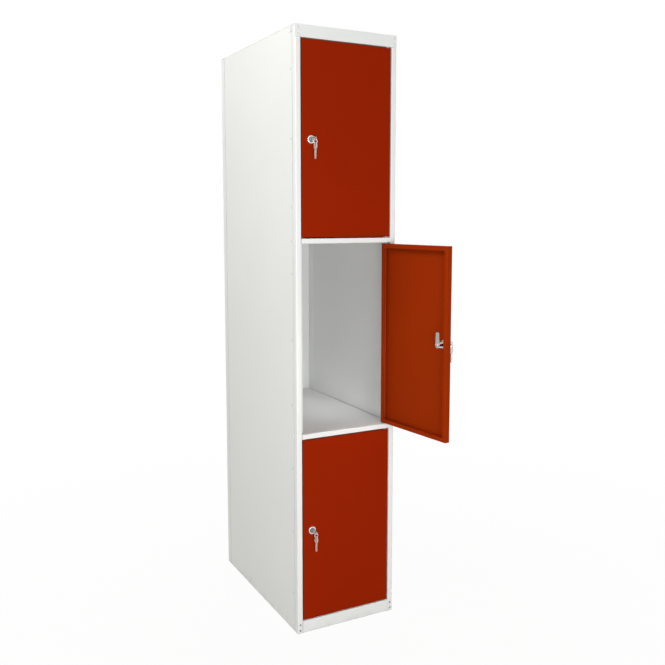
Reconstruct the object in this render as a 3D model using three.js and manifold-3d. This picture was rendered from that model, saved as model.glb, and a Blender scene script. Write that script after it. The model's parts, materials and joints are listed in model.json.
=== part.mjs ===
// Three-tier steel bicycle locker: a folded sheet carcase, three hinged doors and three cam locks.
// Millimetres, +Z up, +X to the right seen from the front, +Y to the back.
// The origin is the middle of the kick rail's foot flange, on the floor.

import * as THREE from 'three';
import { mergeVertices } from 'three/addons/utils/BufferGeometryUtils.js';
import Module from 'manifold-3d';

const wasm = await Module();
wasm.setup();

// Overall size
const HEIGHT = 1800;
const WIDTH = 335;
const DEPTH = 600;

// Heights of the front members
const KICK_HEIGHT = 38;
const CROSS_HEIGHT = 15.5;
const TOP_HEIGHT = 36;

// Sheet thicknesses, bends and clearances
const PANEL_SHEET = 1;
const FRAME_SHEET = 1.5;
const DOOR_SHEET = 1;
const BEND_RADIUS = 2;
const SEAM = 0.3;
const OVERRUN = 2;
const WELD = 0.0003;
const BEND_STEPS = 3;

// Posts, seen in plan
const POST_FACE = 17;
const POST_DEPTH = 22;
const STOP_LIP = 12;
const SEAM_SETBACK = 23;
const LAP_WIDTH = 20;
const JOGGLE_RUN = 3;

// Panels
const BACK_FLANGE = 28;
const BACK_LAP = 18;
const CAP_FLANGE = 14;
const TRAY_FLANGE = 13;
const TRAY_LAP = 7;
const FOOT_DEPTH = 24;

// Kick rail end tabs
const TAB_INSET = 4;
const TAB_MARGIN = 4;
const TAB_OVERLAP = 8;

// Blind rivets
const RIVET_RADIUS = 2;
const RIVET_HEAD_RADIUS = 3.4;
const RIVET_HEAD_HEIGHT = 1.2;
const RIVET_BULB_RADIUS = 2.9;
const RIVET_BULB_LENGTH = 2.6;
const RIVET_CROWN_SHARE = 0.5;
const RIVET_RIM_SHARE = 0.35;
const RIVET_EDGE = 8.5;
const RIVET_END = 9.5;
const RIVET_PITCH = 18;

// Doors
const DOOR_GAP = 3;
const DOOR_DEPTH = 18;
const DOOR_LIP = 13;
const DOOR_CORNER = 2;

// Hinge pins and bushes
const PIN_INSET = 8;
const PIN_DEPTH = 8;
const PIN_RADIUS = 3;
const PIN_HEAD_RADIUS = 4.4;
const PIN_HEAD_HEIGHT = 2;
const PIN_COLLAR_RADIUS = 5;
const PIN_REACH = 5;
const BUSH_WALL = 1.2;
const BUSH_FLANGE_RADIUS = 6.2;
const BUSH_FLANGE_HEIGHT = 1;
const BUSH_TAIL = 2.5;

// Cam locks
const LOCK_INSET = 28.5;
const HEAD_RADIUS = 11.8;
const HEAD_HEIGHT = 3.4;
const HEAD_BEVEL = 1.2;
const BARREL_RADIUS = 9;
const BARREL_FLAT = 8;
const BARREL_LENGTH = 24;
const PLUG_RADIUS = 6.6;
const PLUG_RIM_RADIUS = 8.4;
const PLUG_RIM_HEIGHT = 1;
const PLUG_PROUD = 0.6;
const NUT_SIDES = 6;
const NUT_FLATS = 23;
const NUT_HEIGHT = 4;
const TANG_SIZE = 7.6;
const TANG_SHY = 0.3;
const CAM_LENGTH = 36;
const CAM_THICKNESS = 2;
const CAM_HUB_RADIUS = 8.5;
const CAM_TIP_WIDTH = 13;
const CAM_TIP_CORNER = 3;
const CAM_HUB_OPENING = THREE.MathUtils.degToRad(60);
const SCREW_RADIUS = 2;
const SCREW_HEAD_RADIUS = 4.6;
const SCREW_HEAD_HEIGHT = 2;
const SCREW_CROWN_SHARE = 0.5;
const SCREW_LENGTH = 7;
const SCREW_SLOT_WIDTH = 1.2;
const SCREW_SLOT_DEPTH = 1;

// Keys and rings
const KEY_THICKNESS = 2;
const BLADE_WIDTH = 6.6;
const BLADE_REST = 5;
const BOW_LENGTH = 22;
const BOW_WIDTH = 15;
const BOW_STANDOFF = 7.5;
const BOW_HOLE_RADIUS = 2.6;
const BOW_HOLE_OFFSET = 6;
const WARD_DEPTH = 1.4;
const WARD_DEPTH_SHARES = [0.5, 1, 0.5, 1];
const WARD_WIDTH_SHARE = 0.33;
const RING_RADIUS = 5.5;
const RING_WIRE = 0.8;
const SPARE_TURN = 9;

// Turns in degrees
const HALF_TURN = 180;
const QUARTER_TURN = 90;

// Round parts
const ROUND_STEPS = 24;
const SMALL_STEPS = 16;
const WIRE_STEPS = 8;

// Each tier's door, with the angle at which it stands open
const TIERS = [
  { name: 'lower', open: 0 },
  { name: 'middle', open: THREE.MathUtils.degToRad(97) },
  { name: 'upper', open: 0 },
];

// Places that follow from the sizes above
const HALF_WIDTH = WIDTH / 2;
const MOUTH_HALF = HALF_WIDTH - POST_FACE;
const RAIL_HALF = MOUTH_HALF - SEAM;
const RAIL_DEPTH = POST_DEPTH - BEND_RADIUS;
const LAP_INSET = PANEL_SHEET + SEAM;
const TRAY_INSET = LAP_INSET + FRAME_SHEET + SEAM;
const OPENING_HEIGHT =
  (HEIGHT - KICK_HEIGHT - TOP_HEIGHT - (TIERS.length - 1) * CROSS_HEIGHT) / TIERS.length;
const TIER_PITCH = OPENING_HEIGHT + CROSS_HEIGHT;
const DOOR_WIDTH = 2 * MOUTH_HALF - 2 * DOOR_GAP;
const DOOR_HEIGHT = OPENING_HEIGHT - 2 * DOOR_GAP;
const PIN_X = MOUTH_HALF - DOOR_GAP - PIN_INSET;
const PIN_COLLAR_HEIGHT = DOOR_GAP - BUSH_FLANGE_HEIGHT - 3 * SEAM;
const BUSH_RADIUS = PIN_RADIUS + SEAM + BUSH_WALL;
const LOCK_X = PIN_INSET - DOOR_WIDTH + LOCK_INSET;
const HEAD_FRONT = -SEAM - HEAD_HEIGHT;
const CAM_FRONT = BARREL_LENGTH + SEAM;
const CAM_BACK = CAM_FRONT + CAM_THICKNESS;
const CAP_SETBACK = PANEL_SHEET + SEAM;
const BLADE_LENGTH = BARREL_LENGTH - BLADE_REST;
const BOW_CENTRE = BLADE_LENGTH + BOW_STANDOFF + BOW_LENGTH / 2;
const BOW_HOLE_PLACE = BOW_CENTRE + BOW_HOLE_OFFSET;

const WHITE_PAINT = { color: 0xf1f2f0, roughness: 0.42, metalness: 0 };
const RED_PAINT = { color: 0x96240a, roughness: 0.4, metalness: 0 };
const CHROME = { color: 0xc9cccd, roughness: 0.18, metalness: 1 };
const ZINC = { color: 0xb4b6b4, roughness: 0.38, metalness: 1 };
const KEY_NICKEL = { color: 0xc4c1b4, roughness: 0.25, metalness: 1 };
const NYLON = { color: 0xb9bcbb, roughness: 0.55, metalness: 0 };

// Turns a mesh of triangles into a solid that can be joined and cut
function toSolid(geometry) {
  const bare = geometry.clone();
  bare.deleteAttribute('normal');
  bare.deleteAttribute('uv');
  const merged = mergeVertices(bare, WELD);
  const corners = [];
  const index = merged.index.array;
  for (let i = 0; i < index.length; i += 3) {
    const [a, b, c] = [index[i], index[i + 1], index[i + 2]];
    if (a !== b && b !== c && c !== a) corners.push(a, b, c);
  }
  return new wasm.Manifold(
    new wasm.Mesh({
      numProp: 3,
      vertProperties: new Float32Array(merged.attributes.position.array),
      triVerts: new Uint32Array(corners),
    }),
  );
}

// Turns a solid back into a mesh of triangles
function toGeometry(solid) {
  const mesh = solid.getMesh();
  const geometry = new THREE.BufferGeometry();
  geometry.setAttribute('position', new THREE.BufferAttribute(mesh.vertProperties, 3));
  geometry.setIndex(new THREE.BufferAttribute(mesh.triVerts, 1));
  geometry.computeVertexNormals();
  return geometry;
}

function joined(solids) {
  return solids.reduce((whole, next) => whole.add(next));
}

function cut(solid, cutters) {
  return cutters.reduce((rest, cutter) => rest.subtract(cutter), solid);
}

// A box between two corners, given as [x, y, z] each, scaled and placed in one step to keep its faces exact
function block(low, high) {
  const size = high.map((value, i) => value - low[i]);
  const middle = low.map((value, i) => value + size[i] / 2);
  const geometry = new THREE.BoxGeometry();
  geometry.applyMatrix4(new THREE.Matrix4().makeScale(...size).setPosition(...middle));
  return toSolid(geometry);
}

// The ways an outline is laid down before it is pushed out along the third direction
const PLAN = new THREE.Matrix4();
const SIDE_VIEW = new THREE.Matrix4().makeBasis(
  new THREE.Vector3(0, 1, 0),
  new THREE.Vector3(0, 0, 1),
  new THREE.Vector3(1, 0, 0),
);
const BACK_VIEW = new THREE.Matrix4().makeBasis(
  new THREE.Vector3(0, 0, 1),
  new THREE.Vector3(1, 0, 0),
  new THREE.Vector3(0, 1, 0),
);
const UPRIGHT = new THREE.Matrix4().makeBasis(
  new THREE.Vector3(1, 0, 0),
  new THREE.Vector3(0, 0, 1),
  new THREE.Vector3(0, -1, 0),
);

// A closed outline pushed out from one place to another along the direction its laying leaves free
function prism(outline, laying, from, to, holes = []) {
  const shape = new THREE.Shape(outline);
  holes.forEach((hole) => shape.holes.push(new THREE.Path(hole)));
  const geometry = new THREE.ExtrudeGeometry(shape, { bevelEnabled: false });
  const stretch = new THREE.Matrix4().makeScale(1, 1, to - from).setPosition(0, 0, from);
  geometry.applyMatrix4(stretch.premultiply(laying));
  return toSolid(geometry);
}

// A profile of [radius, height] corners turned about Y, or about Z when upright
function turned(profile, steps, upright = false) {
  const points = profile.map(([radius, height]) => new THREE.Vector2(radius, height));
  const geometry = new THREE.LatheGeometry(points, steps);
  if (upright) geometry.applyMatrix4(UPRIGHT);
  return toSolid(geometry);
}

// A round cutter or rod along Y, or along Z when upright
function rod(radius, from, to, steps, upright = false) {
  return turned([[0, from], [radius, from], [radius, to], [0, to]], steps, upright);
}

// The outline of a bent sheet whose middle line follows the given corners
function sheetOutline(path, thickness) {
  const line = path.map(([a, b]) => new THREE.Vector2(a, b));
  const sides = [[], []];
  const put = (point, direction) => {
    const across = new THREE.Vector2(-direction.y, direction.x).multiplyScalar(thickness / 2);
    sides[0].push(point.clone().add(across));
    sides[1].push(point.clone().sub(across));
  };
  const heading = (i) => line[i + 1].clone().sub(line[i]).normalize();
  put(line[0], heading(0));
  for (let i = 1; i < line.length - 1; i += 1) {
    const before = heading(i - 1);
    const after = heading(i);
    const turn = Math.atan2(before.cross(after), before.dot(after));
    const back = BEND_RADIUS * Math.tan(Math.abs(turn) / 2);
    const start = line[i].clone().addScaledVector(before, -back);
    const toCentre = new THREE.Vector2(-before.y, before.x).multiplyScalar(Math.sign(turn) * BEND_RADIUS);
    const centre = start.clone().add(toCentre);
    for (let step = 0; step <= BEND_STEPS; step += 1) {
      const angle = (turn * step) / BEND_STEPS;
      put(start.clone().rotateAround(centre, angle), before.clone().rotateAround(new THREE.Vector2(), angle));
    }
  }
  put(line[line.length - 1], heading(line.length - 2));
  return [...sides[0], ...sides[1].reverse()];
}

// Points of an arc about a centre, both ends included
function arc(centreA, centreB, radius, from, to, steps) {
  const points = [];
  for (let i = 0; i <= steps; i += 1) {
    const angle = from + ((to - from) * i) / steps;
    points.push(new THREE.Vector2(centreA + radius * Math.cos(angle), centreB + radius * Math.sin(angle)));
  }
  return points;
}

// The corners of a regular figure about a place on the first direction
function ringOf(centre, radius, sides) {
  return arc(centre, 0, radius, 0, Math.PI * 2, sides).slice(0, sides);
}

// Mirrors plan corners, given as [distance in from the outer side face, depth], to one side
function onSide(side, path) {
  return path.map(([inset, depth]) => [side * (HALF_WIDTH - inset), depth]);
}

const locker = new THREE.Group();
const carcase = new THREE.Group();
carcase.position.y = -FOOT_DEPTH / 2;
locker.add(carcase);

// Hangs a solid in a group as a named mesh with its own material
function add(group, name, solid, finish) {
  const mesh = new THREE.Mesh(toGeometry(solid), new THREE.MeshStandardMaterial(finish));
  mesh.name = name;
  group.add(mesh);
  return mesh;
}

// Outer skin

function sidePanel(side) {
  const outer = PANEL_SHEET / 2;
  const lapped = LAP_INSET + PANEL_SHEET / 2;
  const flangeEdge = DEPTH - BACK_FLANGE - SEAM;
  const path = onSide(side, [
    [outer, SEAM_SETBACK + SEAM],
    [outer, flangeEdge - JOGGLE_RUN],
    [lapped, flangeEdge],
    [lapped, flangeEdge + BACK_LAP],
  ]);
  return prism(sheetOutline(path, PANEL_SHEET), PLAN, 0, HEIGHT - PANEL_SHEET - SEAM);
}

function backPanel() {
  const wall = PANEL_SHEET / 2;
  const half = HALF_WIDTH - wall;
  const path = [
    [-half, DEPTH - BACK_FLANGE],
    [-half, DEPTH - wall],
    [half, DEPTH - wall],
    [half, DEPTH - BACK_FLANGE],
  ];
  return prism(sheetOutline(path, PANEL_SHEET), PLAN, 0, HEIGHT - PANEL_SHEET - SEAM);
}

function topPanel() {
  const wall = PANEL_SHEET / 2;
  const edge = HEIGHT - TOP_HEIGHT;
  const profile = sheetOutline(
    [
      [RAIL_DEPTH, edge + wall],
      [wall, edge + wall],
      [wall, HEIGHT - wall],
      [DEPTH, HEIGHT - wall],
    ],
    PANEL_SHEET,
  );
  const sheet = prism(profile, SIDE_VIEW, -HALF_WIDTH, HALF_WIDTH);
  const flangeFront = SEAM_SETBACK + LAP_WIDTH + SEAM;
  const flangeBack = DEPTH - BACK_FLANGE - SEAM - JOGGLE_RUN - SEAM;
  const flanges = [-1, 1].map((side) => {
    const ends = [side * (HALF_WIDTH - LAP_INSET), side * (HALF_WIDTH - LAP_INSET - PANEL_SHEET)];
    return block(
      [Math.min(...ends), flangeFront, HEIGHT - CAP_FLANGE],
      [Math.max(...ends), flangeBack, HEIGHT - wall],
    );
  });
  const overPosts = [-1, 1].map((side) => {
    const ends = [side * RAIL_HALF, side * (HALF_WIDTH + OVERRUN)];
    return block(
      [Math.min(...ends), PANEL_SHEET, edge - OVERRUN],
      [Math.max(...ends), POST_DEPTH + OVERRUN, edge + PANEL_SHEET + BEND_RADIUS],
    );
  });
  const pinHole = rod(BUSH_RADIUS + SEAM, edge - OVERRUN, edge + PANEL_SHEET + OVERRUN, SMALL_STEPS, true);
  const rivetHoles = topRivetPlaces().map(([x, z]) =>
    rod(RIVET_RADIUS + SEAM, -OVERRUN, PANEL_SHEET + OVERRUN, SMALL_STEPS).translate([x, 0, z]),
  );
  return cut(joined([sheet, ...flanges]), [
    ...overPosts,
    pinHole.translate([PIN_X, PIN_DEPTH, 0]),
    ...rivetHoles,
  ]);
}

// A plan outline, alike on both sides, with a narrower tongue at its front
function tongued(tongue, half, front, shoulder, back) {
  return [
    [-tongue, front],
    [tongue, front],
    [tongue, shoulder],
    [half, shoulder],
    [half, back],
    [-half, back],
    [-half, shoulder],
    [-tongue, shoulder],
  ].map(([x, y]) => new THREE.Vector2(x, y));
}

// A floor or shelf panel: a plate with its sides and back turned down, whose top is lapped under a rail
function trayPanel(railTop) {
  const top = railTop - FRAME_SHEET - SEAM;
  const low = top - TRAY_FLANGE;
  const half = HALF_WIDTH - TRAY_INSET;
  const tongue = MOUTH_HALF - STOP_LIP - SEAM;
  const front = POST_DEPTH - TRAY_LAP;
  const shoulder = POST_DEPTH + FRAME_SHEET + SEAM;
  const back = DEPTH - PANEL_SHEET - SEAM;
  const outline = tongued(tongue, half, front, shoulder, back);
  const hollow = tongued(
    tongue + OVERRUN,
    half - PANEL_SHEET,
    front - OVERRUN,
    shoulder - OVERRUN,
    back - PANEL_SHEET,
  );
  return prism(outline, PLAN, low, top).subtract(prism(hollow, PLAN, low - OVERRUN, top - PANEL_SHEET));
}

// Front frame

function post(side) {
  const wall = FRAME_SHEET / 2;
  const lapped = LAP_INSET + wall;
  const sidePath = [
    [lapped, SEAM_SETBACK + LAP_WIDTH],
    [lapped, SEAM_SETBACK],
    [wall, SEAM_SETBACK - JOGGLE_RUN],
  ];
  const fullPath = onSide(side, [
    ...sidePath,
    [wall, wall],
    [POST_FACE - wall, wall],
    [POST_FACE - wall, POST_DEPTH + wall],
    [POST_FACE + STOP_LIP, POST_DEPTH + wall],
  ]);
  const topPath = onSide(side, [
    ...sidePath,
    [wall, CAP_SETBACK + wall],
    [POST_FACE - FRAME_SHEET, CAP_SETBACK + wall],
  ]);
  const shoulder = HEIGHT - TOP_HEIGHT - SEAM;
  const full = prism(sheetOutline(fullPath, FRAME_SHEET), PLAN, 0, shoulder);
  const tongue = prism(
    sheetOutline(topPath, FRAME_SHEET),
    PLAN,
    shoulder - FRAME_SHEET,
    HEIGHT - PANEL_SHEET - SEAM,
  );
  const notchEnds = [
    side * (HALF_WIDTH - POST_FACE + FRAME_SHEET + BEND_RADIUS),
    side * (MOUTH_HALF - STOP_LIP - OVERRUN),
  ];
  const notch = block(
    [Math.min(...notchEnds), FRAME_SHEET, -OVERRUN],
    [Math.max(...notchEnds), POST_DEPTH + FRAME_SHEET + OVERRUN, KICK_HEIGHT + SEAM],
  );
  const capCorner = PANEL_SHEET + BEND_RADIUS;
  const crownNotch = block(
    [-HALF_WIDTH - OVERRUN, -OVERRUN, HEIGHT - capCorner],
    [HALF_WIDTH + OVERRUN, capCorner, HEIGHT + OVERRUN],
  );
  const faceDepth = CAP_SETBACK + FRAME_SHEET;
  const holes = [...kickRivetPlaces(), ...topRivetPlaces()].map(([x, z]) =>
    rod(RIVET_RADIUS + SEAM, -OVERRUN, faceDepth + OVERRUN, SMALL_STEPS).translate([x, 0, z]),
  );
  return cut(full.add(tongue), [notch, crownNotch, ...holes]);
}

function kickRail() {
  const wall = FRAME_SHEET / 2;
  const profile = sheetOutline(
    [
      [FOOT_DEPTH, wall],
      [wall, wall],
      [wall, KICK_HEIGHT - wall],
      [RAIL_DEPTH, KICK_HEIGHT - wall],
    ],
    FRAME_SHEET,
  );
  const rail = prism(profile, SIDE_VIEW, -RAIL_HALF, RAIL_HALF);
  const tabFront = FRAME_SHEET + SEAM;
  const tabs = [-1, 1].flatMap((side) => {
    const outer = side * (HALF_WIDTH - TAB_INSET);
    const inner = side * (RAIL_HALF - TAB_OVERLAP);
    const edge = side * RAIL_HALF;
    const low = TAB_MARGIN;
    const high = KICK_HEIGHT - TAB_MARGIN;
    return [
      block([Math.min(outer, inner), tabFront, low], [Math.max(outer, inner), tabFront + FRAME_SHEET, high]),
      block([Math.min(edge, inner), wall, low], [Math.max(edge, inner), tabFront + FRAME_SHEET, high]),
    ];
  });
  const pinHole = rod(
    BUSH_RADIUS + SEAM,
    KICK_HEIGHT - FRAME_SHEET - OVERRUN,
    KICK_HEIGHT + OVERRUN,
    SMALL_STEPS,
    true,
  );
  const rivetHoles = kickRivetPlaces().map(([x, z]) =>
    rod(RIVET_RADIUS + SEAM, -OVERRUN, tabFront + FRAME_SHEET + OVERRUN, SMALL_STEPS).translate([x, 0, z]),
  );
  return cut(joined([rail, ...tabs]), [pinHole.translate([PIN_X, PIN_DEPTH, 0]), ...rivetHoles]);
}

function crossRail(top) {
  const wall = FRAME_SHEET / 2;
  const bottom = top - CROSS_HEIGHT;
  const profile = sheetOutline(
    [
      [RAIL_DEPTH, top - wall],
      [wall, top - wall],
      [wall, bottom + wall],
      [RAIL_DEPTH, bottom + wall],
    ],
    FRAME_SHEET,
  );
  const pinHole = rod(BUSH_RADIUS + SEAM, bottom - OVERRUN, top + OVERRUN, SMALL_STEPS, true);
  return cut(prism(profile, SIDE_VIEW, -RAIL_HALF, RAIL_HALF), [pinHole.translate([PIN_X, PIN_DEPTH, 0])]);
}

// Blind rivets, at [x, z] on the front

function rivetPairs(firstHeight, step) {
  return [-1, 1].flatMap((side) =>
    [0, 1].map((i) => [side * (HALF_WIDTH - RIVET_EDGE), firstHeight + i * step]),
  );
}

function kickRivetPlaces() {
  return rivetPairs(RIVET_END, RIVET_PITCH);
}

function topRivetPlaces() {
  return rivetPairs(HEIGHT - RIVET_END, -RIVET_PITCH);
}

function rivet(grip) {
  const seat = -SEAM;
  const crown = seat - RIVET_HEAD_HEIGHT;
  const bulb = grip + SEAM;
  const end = bulb + RIVET_BULB_LENGTH;
  return turned(
    [
      [0, crown],
      [RIVET_HEAD_RADIUS * RIVET_CROWN_SHARE, crown],
      [RIVET_HEAD_RADIUS, seat - RIVET_HEAD_HEIGHT * RIVET_RIM_SHARE],
      [RIVET_HEAD_RADIUS, seat],
      [RIVET_RADIUS, seat],
      [RIVET_RADIUS, bulb],
      [RIVET_BULB_RADIUS, bulb],
      [RIVET_BULB_RADIUS, end],
      [0, end],
    ],
    SMALL_STEPS,
  );
}

// Hinge bushes and pins, with the face they sit on at height zero and the part reaching away from it

function hingeBush(sheet) {
  const bore = PIN_RADIUS + SEAM;
  const seat = -SEAM;
  const tail = sheet + BUSH_TAIL;
  return turned(
    [
      [bore, seat - BUSH_FLANGE_HEIGHT],
      [BUSH_FLANGE_RADIUS, seat - BUSH_FLANGE_HEIGHT],
      [BUSH_FLANGE_RADIUS, seat],
      [BUSH_RADIUS, seat],
      [BUSH_RADIUS, tail],
      [bore, tail],
      [bore, seat - BUSH_FLANGE_HEIGHT],
    ],
    SMALL_STEPS,
    true,
  );
}

function hingePin() {
  const head = -DOOR_SHEET - SEAM;
  return turned(
    [
      [0, head - PIN_HEAD_HEIGHT],
      [PIN_HEAD_RADIUS, head - PIN_HEAD_HEIGHT],
      [PIN_HEAD_RADIUS, head],
      [PIN_RADIUS, head],
      [PIN_RADIUS, SEAM],
      [PIN_COLLAR_RADIUS, SEAM],
      [PIN_COLLAR_RADIUS, SEAM + PIN_COLLAR_HEIGHT],
      [PIN_RADIUS, SEAM + PIN_COLLAR_HEIGHT],
      [PIN_RADIUS, DOOR_GAP + PIN_REACH],
      [0, DOOR_GAP + PIN_REACH],
    ],
    SMALL_STEPS,
    true,
  );
}

// Door, about its hinge line, with its lower edge at height zero

function doorPan() {
  const front = -PIN_DEPTH;
  const back = DOOR_DEPTH - PIN_DEPTH;
  const free = PIN_INSET - DOOR_WIDTH;
  const outline = [
    new THREE.Vector2(PIN_INSET, back),
    new THREE.Vector2(free, back),
    ...arc(free + DOOR_CORNER, front + DOOR_CORNER, DOOR_CORNER, Math.PI, Math.PI * 1.5, BEND_STEPS),
    ...arc(PIN_INSET - DOOR_CORNER, front + DOOR_CORNER, DOOR_CORNER, -Math.PI / 2, 0, BEND_STEPS),
  ];
  const body = prism(outline, PLAN, 0, DOOR_HEIGHT);
  const cavity = block(
    [free + DOOR_SHEET, front + DOOR_SHEET, DOOR_SHEET],
    [PIN_INSET - DOOR_SHEET, back - DOOR_SHEET, DOOR_HEIGHT - DOOR_SHEET],
  );
  const mouth = block(
    [free + DOOR_LIP, back - DOOR_SHEET - OVERRUN, DOOR_LIP],
    [PIN_INSET - DOOR_LIP, back + OVERRUN, DOOR_HEIGHT - DOOR_LIP],
  );
  const pinHole = rod(PIN_RADIUS + SEAM, -OVERRUN, DOOR_HEIGHT + OVERRUN, SMALL_STEPS, true);
  const lockHole = barrelShape(BARREL_RADIUS + SEAM, BARREL_FLAT + SEAM, -OVERRUN, DOOR_SHEET + OVERRUN);
  return cut(body, [cavity, mouth, pinHole, lockHole.translate([LOCK_X, front, DOOR_HEIGHT / 2])]);
}

// A cylinder along Y with a flat on either side
function barrelShape(radius, flat, from, to) {
  return rod(radius, from, to, ROUND_STEPS).intersect(
    block([-flat, from - OVERRUN, -radius - OVERRUN], [flat, to + OVERRUN, radius + OVERRUN]),
  );
}

// Lock parts, about the lock's axis, with the door's outer face at depth zero

function lockHousing() {
  const seat = -SEAM;
  const head = turned(
    [
      [0, HEAD_FRONT],
      [HEAD_RADIUS - HEAD_BEVEL, HEAD_FRONT],
      [HEAD_RADIUS, HEAD_FRONT + HEAD_BEVEL],
      [HEAD_RADIUS, seat],
      [0, seat],
    ],
    ROUND_STEPS,
  );
  const barrel = barrelShape(BARREL_RADIUS, BARREL_FLAT, seat - SEAM, BARREL_LENGTH);
  const bore = rod(PLUG_RADIUS + SEAM, HEAD_FRONT - OVERRUN, BARREL_LENGTH + OVERRUN, ROUND_STEPS);
  const recess = rod(
    PLUG_RIM_RADIUS + SEAM,
    HEAD_FRONT - OVERRUN,
    HEAD_FRONT + PLUG_RIM_HEIGHT + SEAM - PLUG_PROUD,
    ROUND_STEPS,
  );
  return cut(head.add(barrel), [bore, recess]);
}

function lockNut() {
  const corner = NUT_FLATS / 2 / Math.cos(Math.PI / NUT_SIDES);
  const hexagon = ringOf(0, corner, NUT_SIDES);
  const seat = DOOR_SHEET + SEAM;
  const bore = rod(BARREL_RADIUS + SEAM, seat - OVERRUN, seat + NUT_HEIGHT + OVERRUN, ROUND_STEPS);
  return prism(hexagon, BACK_VIEW, seat, seat + NUT_HEIGHT).subtract(bore);
}

function lockPlug() {
  const face = HEAD_FRONT - PLUG_PROUD;
  const body = turned(
    [
      [0, face],
      [PLUG_RIM_RADIUS, face],
      [PLUG_RIM_RADIUS, face + PLUG_RIM_HEIGHT],
      [PLUG_RADIUS, face + PLUG_RIM_HEIGHT],
      [PLUG_RADIUS, BARREL_LENGTH],
      [0, BARREL_LENGTH],
    ],
    ROUND_STEPS,
  );
  const half = TANG_SIZE / 2;
  const tang = block([-half, BARREL_LENGTH - SEAM, -half], [half, CAM_BACK - TANG_SHY, half]);
  const slotHalf = KEY_THICKNESS / 2 + SEAM;
  const slotReach = BLADE_WIDTH / 2 + SEAM;
  const keyway = block(
    [-slotHalf, face - OVERRUN, -slotReach],
    [slotHalf, face + BLADE_LENGTH + SEAM, slotReach],
  );
  const screwHole = rod(
    SCREW_RADIUS + SEAM,
    CAM_BACK + SEAM - SCREW_LENGTH - SEAM,
    CAM_BACK + OVERRUN,
    SMALL_STEPS,
  );
  return cut(body.add(tang), [keyway, screwHole]);
}

// The cam points up: its outline is drawn as [height, x] seen from behind
function lockCam() {
  const tip = CAM_TIP_WIDTH / 2;
  const end = CAM_LENGTH - CAM_TIP_CORNER;
  const outline = [
    ...arc(end, tip - CAM_TIP_CORNER, CAM_TIP_CORNER, 0, Math.PI / 2, BEND_STEPS),
    ...arc(0, 0, CAM_HUB_RADIUS, CAM_HUB_OPENING, Math.PI * 2 - CAM_HUB_OPENING, SMALL_STEPS),
    ...arc(end, CAM_TIP_CORNER - tip, CAM_TIP_CORNER, -Math.PI / 2, 0, BEND_STEPS),
  ];
  const half = TANG_SIZE / 2 + SEAM;
  const seat = block([-half, CAM_FRONT - OVERRUN, -half], [half, CAM_BACK + OVERRUN, half]);
  return prism(outline, BACK_VIEW, CAM_FRONT, CAM_BACK).subtract(seat);
}

function camScrew() {
  const seat = CAM_BACK + SEAM;
  const crown = seat + SCREW_HEAD_HEIGHT;
  const body = turned(
    [
      [0, seat - SCREW_LENGTH],
      [SCREW_RADIUS, seat - SCREW_LENGTH],
      [SCREW_RADIUS, seat],
      [SCREW_HEAD_RADIUS, seat],
      [SCREW_HEAD_RADIUS, seat + SCREW_HEAD_HEIGHT * SCREW_CROWN_SHARE],
      [SCREW_HEAD_RADIUS * SCREW_CROWN_SHARE, crown],
      [0, crown],
    ],
    SMALL_STEPS,
  );
  const slot = [SCREW_HEAD_RADIUS + OVERRUN, SCREW_SLOT_WIDTH / 2];
  const floor = crown - SCREW_SLOT_DEPTH;
  return cut(body, [
    block([-slot[0], floor, -slot[1]], [slot[0], crown + OVERRUN, slot[1]]),
    block([-slot[1], floor, -slot[0]], [slot[1], crown + OVERRUN, slot[0]]),
  ]);
}

// A flat key drawn as [along the blade, across it], with the blade's tip at zero and the oval bow behind it
function keyOutline() {
  const half = BLADE_WIDTH / 2;
  const wardStep = BLADE_LENGTH / (WARD_DEPTH_SHARES.length + 1);
  const wardHalf = wardStep * WARD_WIDTH_SHARE;
  const wards = WARD_DEPTH_SHARES.flatMap((share, i) => {
    const middle = wardStep * (i + 1);
    return [[middle - wardHalf, half], [middle, half - WARD_DEPTH * share], [middle + wardHalf, half]];
  });
  const bowHalf = BOW_WIDTH / 2;
  const neck = Math.asin(half / bowHalf);
  const bow = arc(0, 0, bowHalf, Math.PI - neck, neck - Math.PI, ROUND_STEPS);
  const points = [
    [half, -half],
    [0, 0],
    [half / 2, half / 2],
    ...wards,
  ].map(([a, b]) => new THREE.Vector2(a, b));
  bow.forEach(({ x, y }) => points.push(new THREE.Vector2(BOW_CENTRE + (x * BOW_LENGTH) / BOW_WIDTH, y)));
  return points;
}

// The key laid in the plane of its blade, with the hole for the ring in its bow
function flatKey() {
  const hole = ringOf(BOW_HOLE_PLACE, BOW_HOLE_RADIUS, SMALL_STEPS);
  const half = KEY_THICKNESS / 2;
  return prism(keyOutline(), SIDE_VIEW, -half, half, [hole]);
}

// The key in its lock: its blade's tip is inside, its bow outside
function key() {
  return flatKey().rotate([HALF_TURN, 0, 0]).translate([0, BLADE_LENGTH + HEAD_FRONT - PLUG_PROUD, 0]);
}

// A spare of the same key, hung by its bow with the blade down and turned about its own length
function spareKey() {
  return flatKey()
    .translate([0, -BOW_HOLE_PLACE, 0])
    .rotate([QUARTER_TURN, 0, SPARE_TURN])
    .translate([0, 0, RING_WIRE + SEAM - BOW_HOLE_RADIUS]);
}

// A wire ring that stands upright across the lock, hung from the point at its top
function keyRing() {
  const ring = new THREE.TorusGeometry(RING_RADIUS, RING_WIRE, WIRE_STEPS, ROUND_STEPS);
  ring.applyMatrix4(UPRIGHT);
  ring.rotateY(Math.PI / ROUND_STEPS);
  ring.translate(0, 0, -RING_RADIUS);
  return toSolid(ring);
}

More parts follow.
